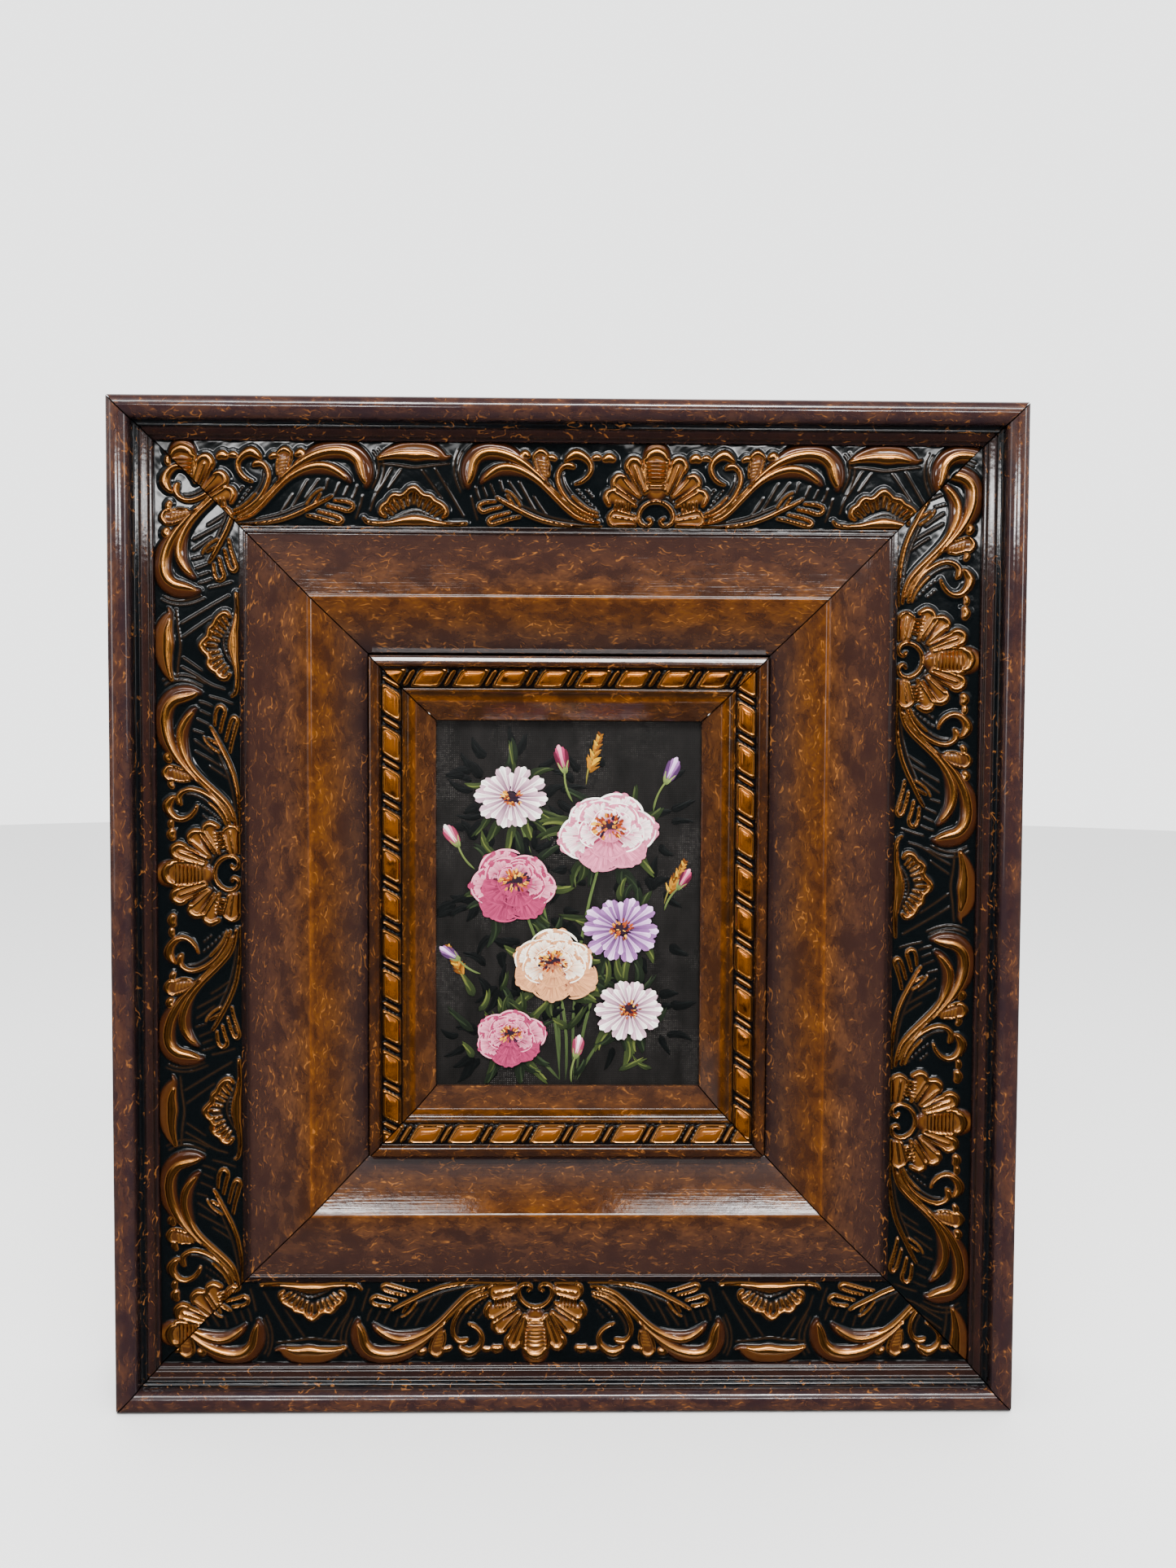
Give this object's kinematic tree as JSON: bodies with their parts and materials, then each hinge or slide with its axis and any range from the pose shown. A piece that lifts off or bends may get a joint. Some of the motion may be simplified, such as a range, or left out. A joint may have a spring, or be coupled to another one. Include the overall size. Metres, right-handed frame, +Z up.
{
  "type": "framed painting",
  "caption": "Small painting on canvas board in a wide mitred frame of carved and lacquered moulding, with a leaf and shell band and an inner rope band.",
  "frame": {"origin": "centre of the underside, on the surface that the frame stands on", "axes": "+Z up, the painting faces -Y, +X to the viewer's right"},
  "size_m": [0.405, 0.052, 0.453],
  "materials": {
    "lacquered_wood": "mottled brown gloss lacquer, carved band glossy black with copper-rubbed tops",
    "inner_lacquered_wood": "mottled brown gloss lacquer with a copper-gold rope band",
    "painted_canvas": "oil paint on canvas board, slightly glossy",
    "brassed_steel": "thin pressed plate, satin"
  },
  "bodies": {
    "root": {"outer_rail_top": "lacquered_wood", "outer_rail_right": "lacquered_wood", "outer_rail_bottom": "lacquered_wood", "outer_rail_left": "lacquered_wood", "inner_rail_top": "inner_lacquered_wood", "inner_rail_right": "inner_lacquered_wood", "inner_rail_bottom": "inner_lacquered_wood", "inner_rail_left": "inner_lacquered_wood", "canvas_board": "painted_canvas", "sawtooth_hanger": "brassed_steel"}
  },
  "joints": []
}
